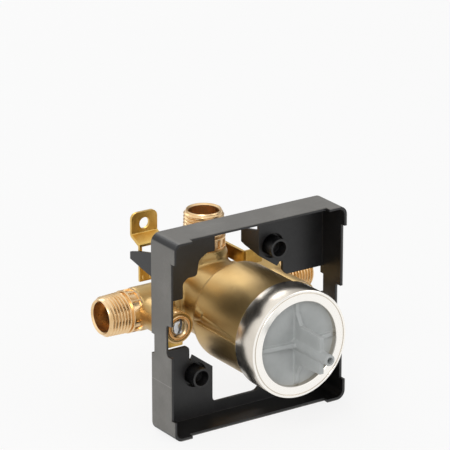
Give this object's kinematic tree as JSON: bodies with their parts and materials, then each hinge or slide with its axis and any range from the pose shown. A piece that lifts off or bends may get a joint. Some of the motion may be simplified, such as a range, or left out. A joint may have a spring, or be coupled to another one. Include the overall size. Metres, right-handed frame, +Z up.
{
  "type": "concealed_shower_valve_body",
  "caption": "Concealed shower valve body in cast brass with screwdriver stops, ring nut, grey test cap, black plaster guard and stamped mounting strap",
  "frame": {"origin": "centre of the circle through the two ear holes, in the plane of the ears' rear face and on the cartridge axis", "axes": "X from the left inlet to the right inlet, Y from the room into the wall, Z up along the shower outlet"},
  "size_m": [0.126, 0.1283, 0.106],
  "materials": {
    "cast_brass": "matte sand-cast skin with bright machined ends",
    "sheet_brass": "rolled sheet, sheared edges",
    "turned_brass": "turned",
    "nickel_plate": "satin nickel plate with a polished front face",
    "stainless_steel": "turned",
    "grey_plastic": "moulded, fine matte",
    "black_plastic": "moulded, satin with light handling marks",
    "black_rubber": "moulded"
  },
  "bodies": {
    "valve": {"valve_body": "cast_brass", "plaster_guard": "black_plastic", "mounting_strap": "sheet_brass", "strap_screws": "stainless_steel", "stop_bonnet_left": "turned_brass", "stop_bonnet_right": "turned_brass", "stop_bonnet_seal_left": "black_rubber", "stop_bonnet_seal_right": "black_rubber"},
    "cap": {"test_cap": "grey_plastic", "cap_front_o_ring": "black_rubber", "cap_rear_o_ring": "black_rubber"},
    "nut": {"bonnet_nut": "nickel_plate"},
    "left_disc": {"stop_disc_left": "turned_brass", "stop_disc_seal_left": "black_rubber", "stop_disc_screw_left": "stainless_steel"},
    "left_stem": {"stop_stem_left": "stainless_steel", "stem_o_ring_left": "black_rubber"},
    "right_disc": {"stop_disc_right": "turned_brass", "stop_disc_seal_right": "black_rubber", "stop_disc_screw_right": "stainless_steel"},
    "right_stem": {"stop_stem_right": "stainless_steel", "stem_o_ring_right": "black_rubber"}
  },
  "joints": [
    {"name": "cap_travel", "type": "slide", "parent": "valve", "child": "cap", "axis": [0, -1, 0], "range_m": [0, 0.009]},
    {"name": "nut_turn", "type": "hinge", "parent": "cap", "child": "nut", "pos_m": [0, -0.079, 0], "axis": [0, -1, 0], "range_deg": [0, 2160]},
    {"name": "left_disc_travel", "type": "slide", "parent": "valve", "child": "left_disc", "axis": [0, 1, 0], "range_m": [0, 0.006]},
    {"name": "left_stem_turn", "type": "hinge", "parent": "left_disc", "child": "left_stem", "pos_m": [-0.0377, -0.028, 0], "axis": [0, 1, 0], "range_deg": [0, 720]},
    {"name": "right_disc_travel", "type": "slide", "parent": "valve", "child": "right_disc", "axis": [0, 1, 0], "range_m": [0, 0.006]},
    {"name": "right_stem_turn", "type": "hinge", "parent": "right_disc", "child": "right_stem", "pos_m": [0.0377, -0.028, 0], "axis": [0, 1, 0], "range_deg": [0, 720]}
  ],
  "couplings": [
    {"joint": "cap_travel", "follows": "nut_turn", "m_per_rad": 0.00023873},
    {"joint": "left_stem_turn", "follows": "left_disc_travel", "rad_per_m": 2094.4},
    {"joint": "right_stem_turn", "follows": "right_disc_travel", "rad_per_m": 2094.4}
  ]
}
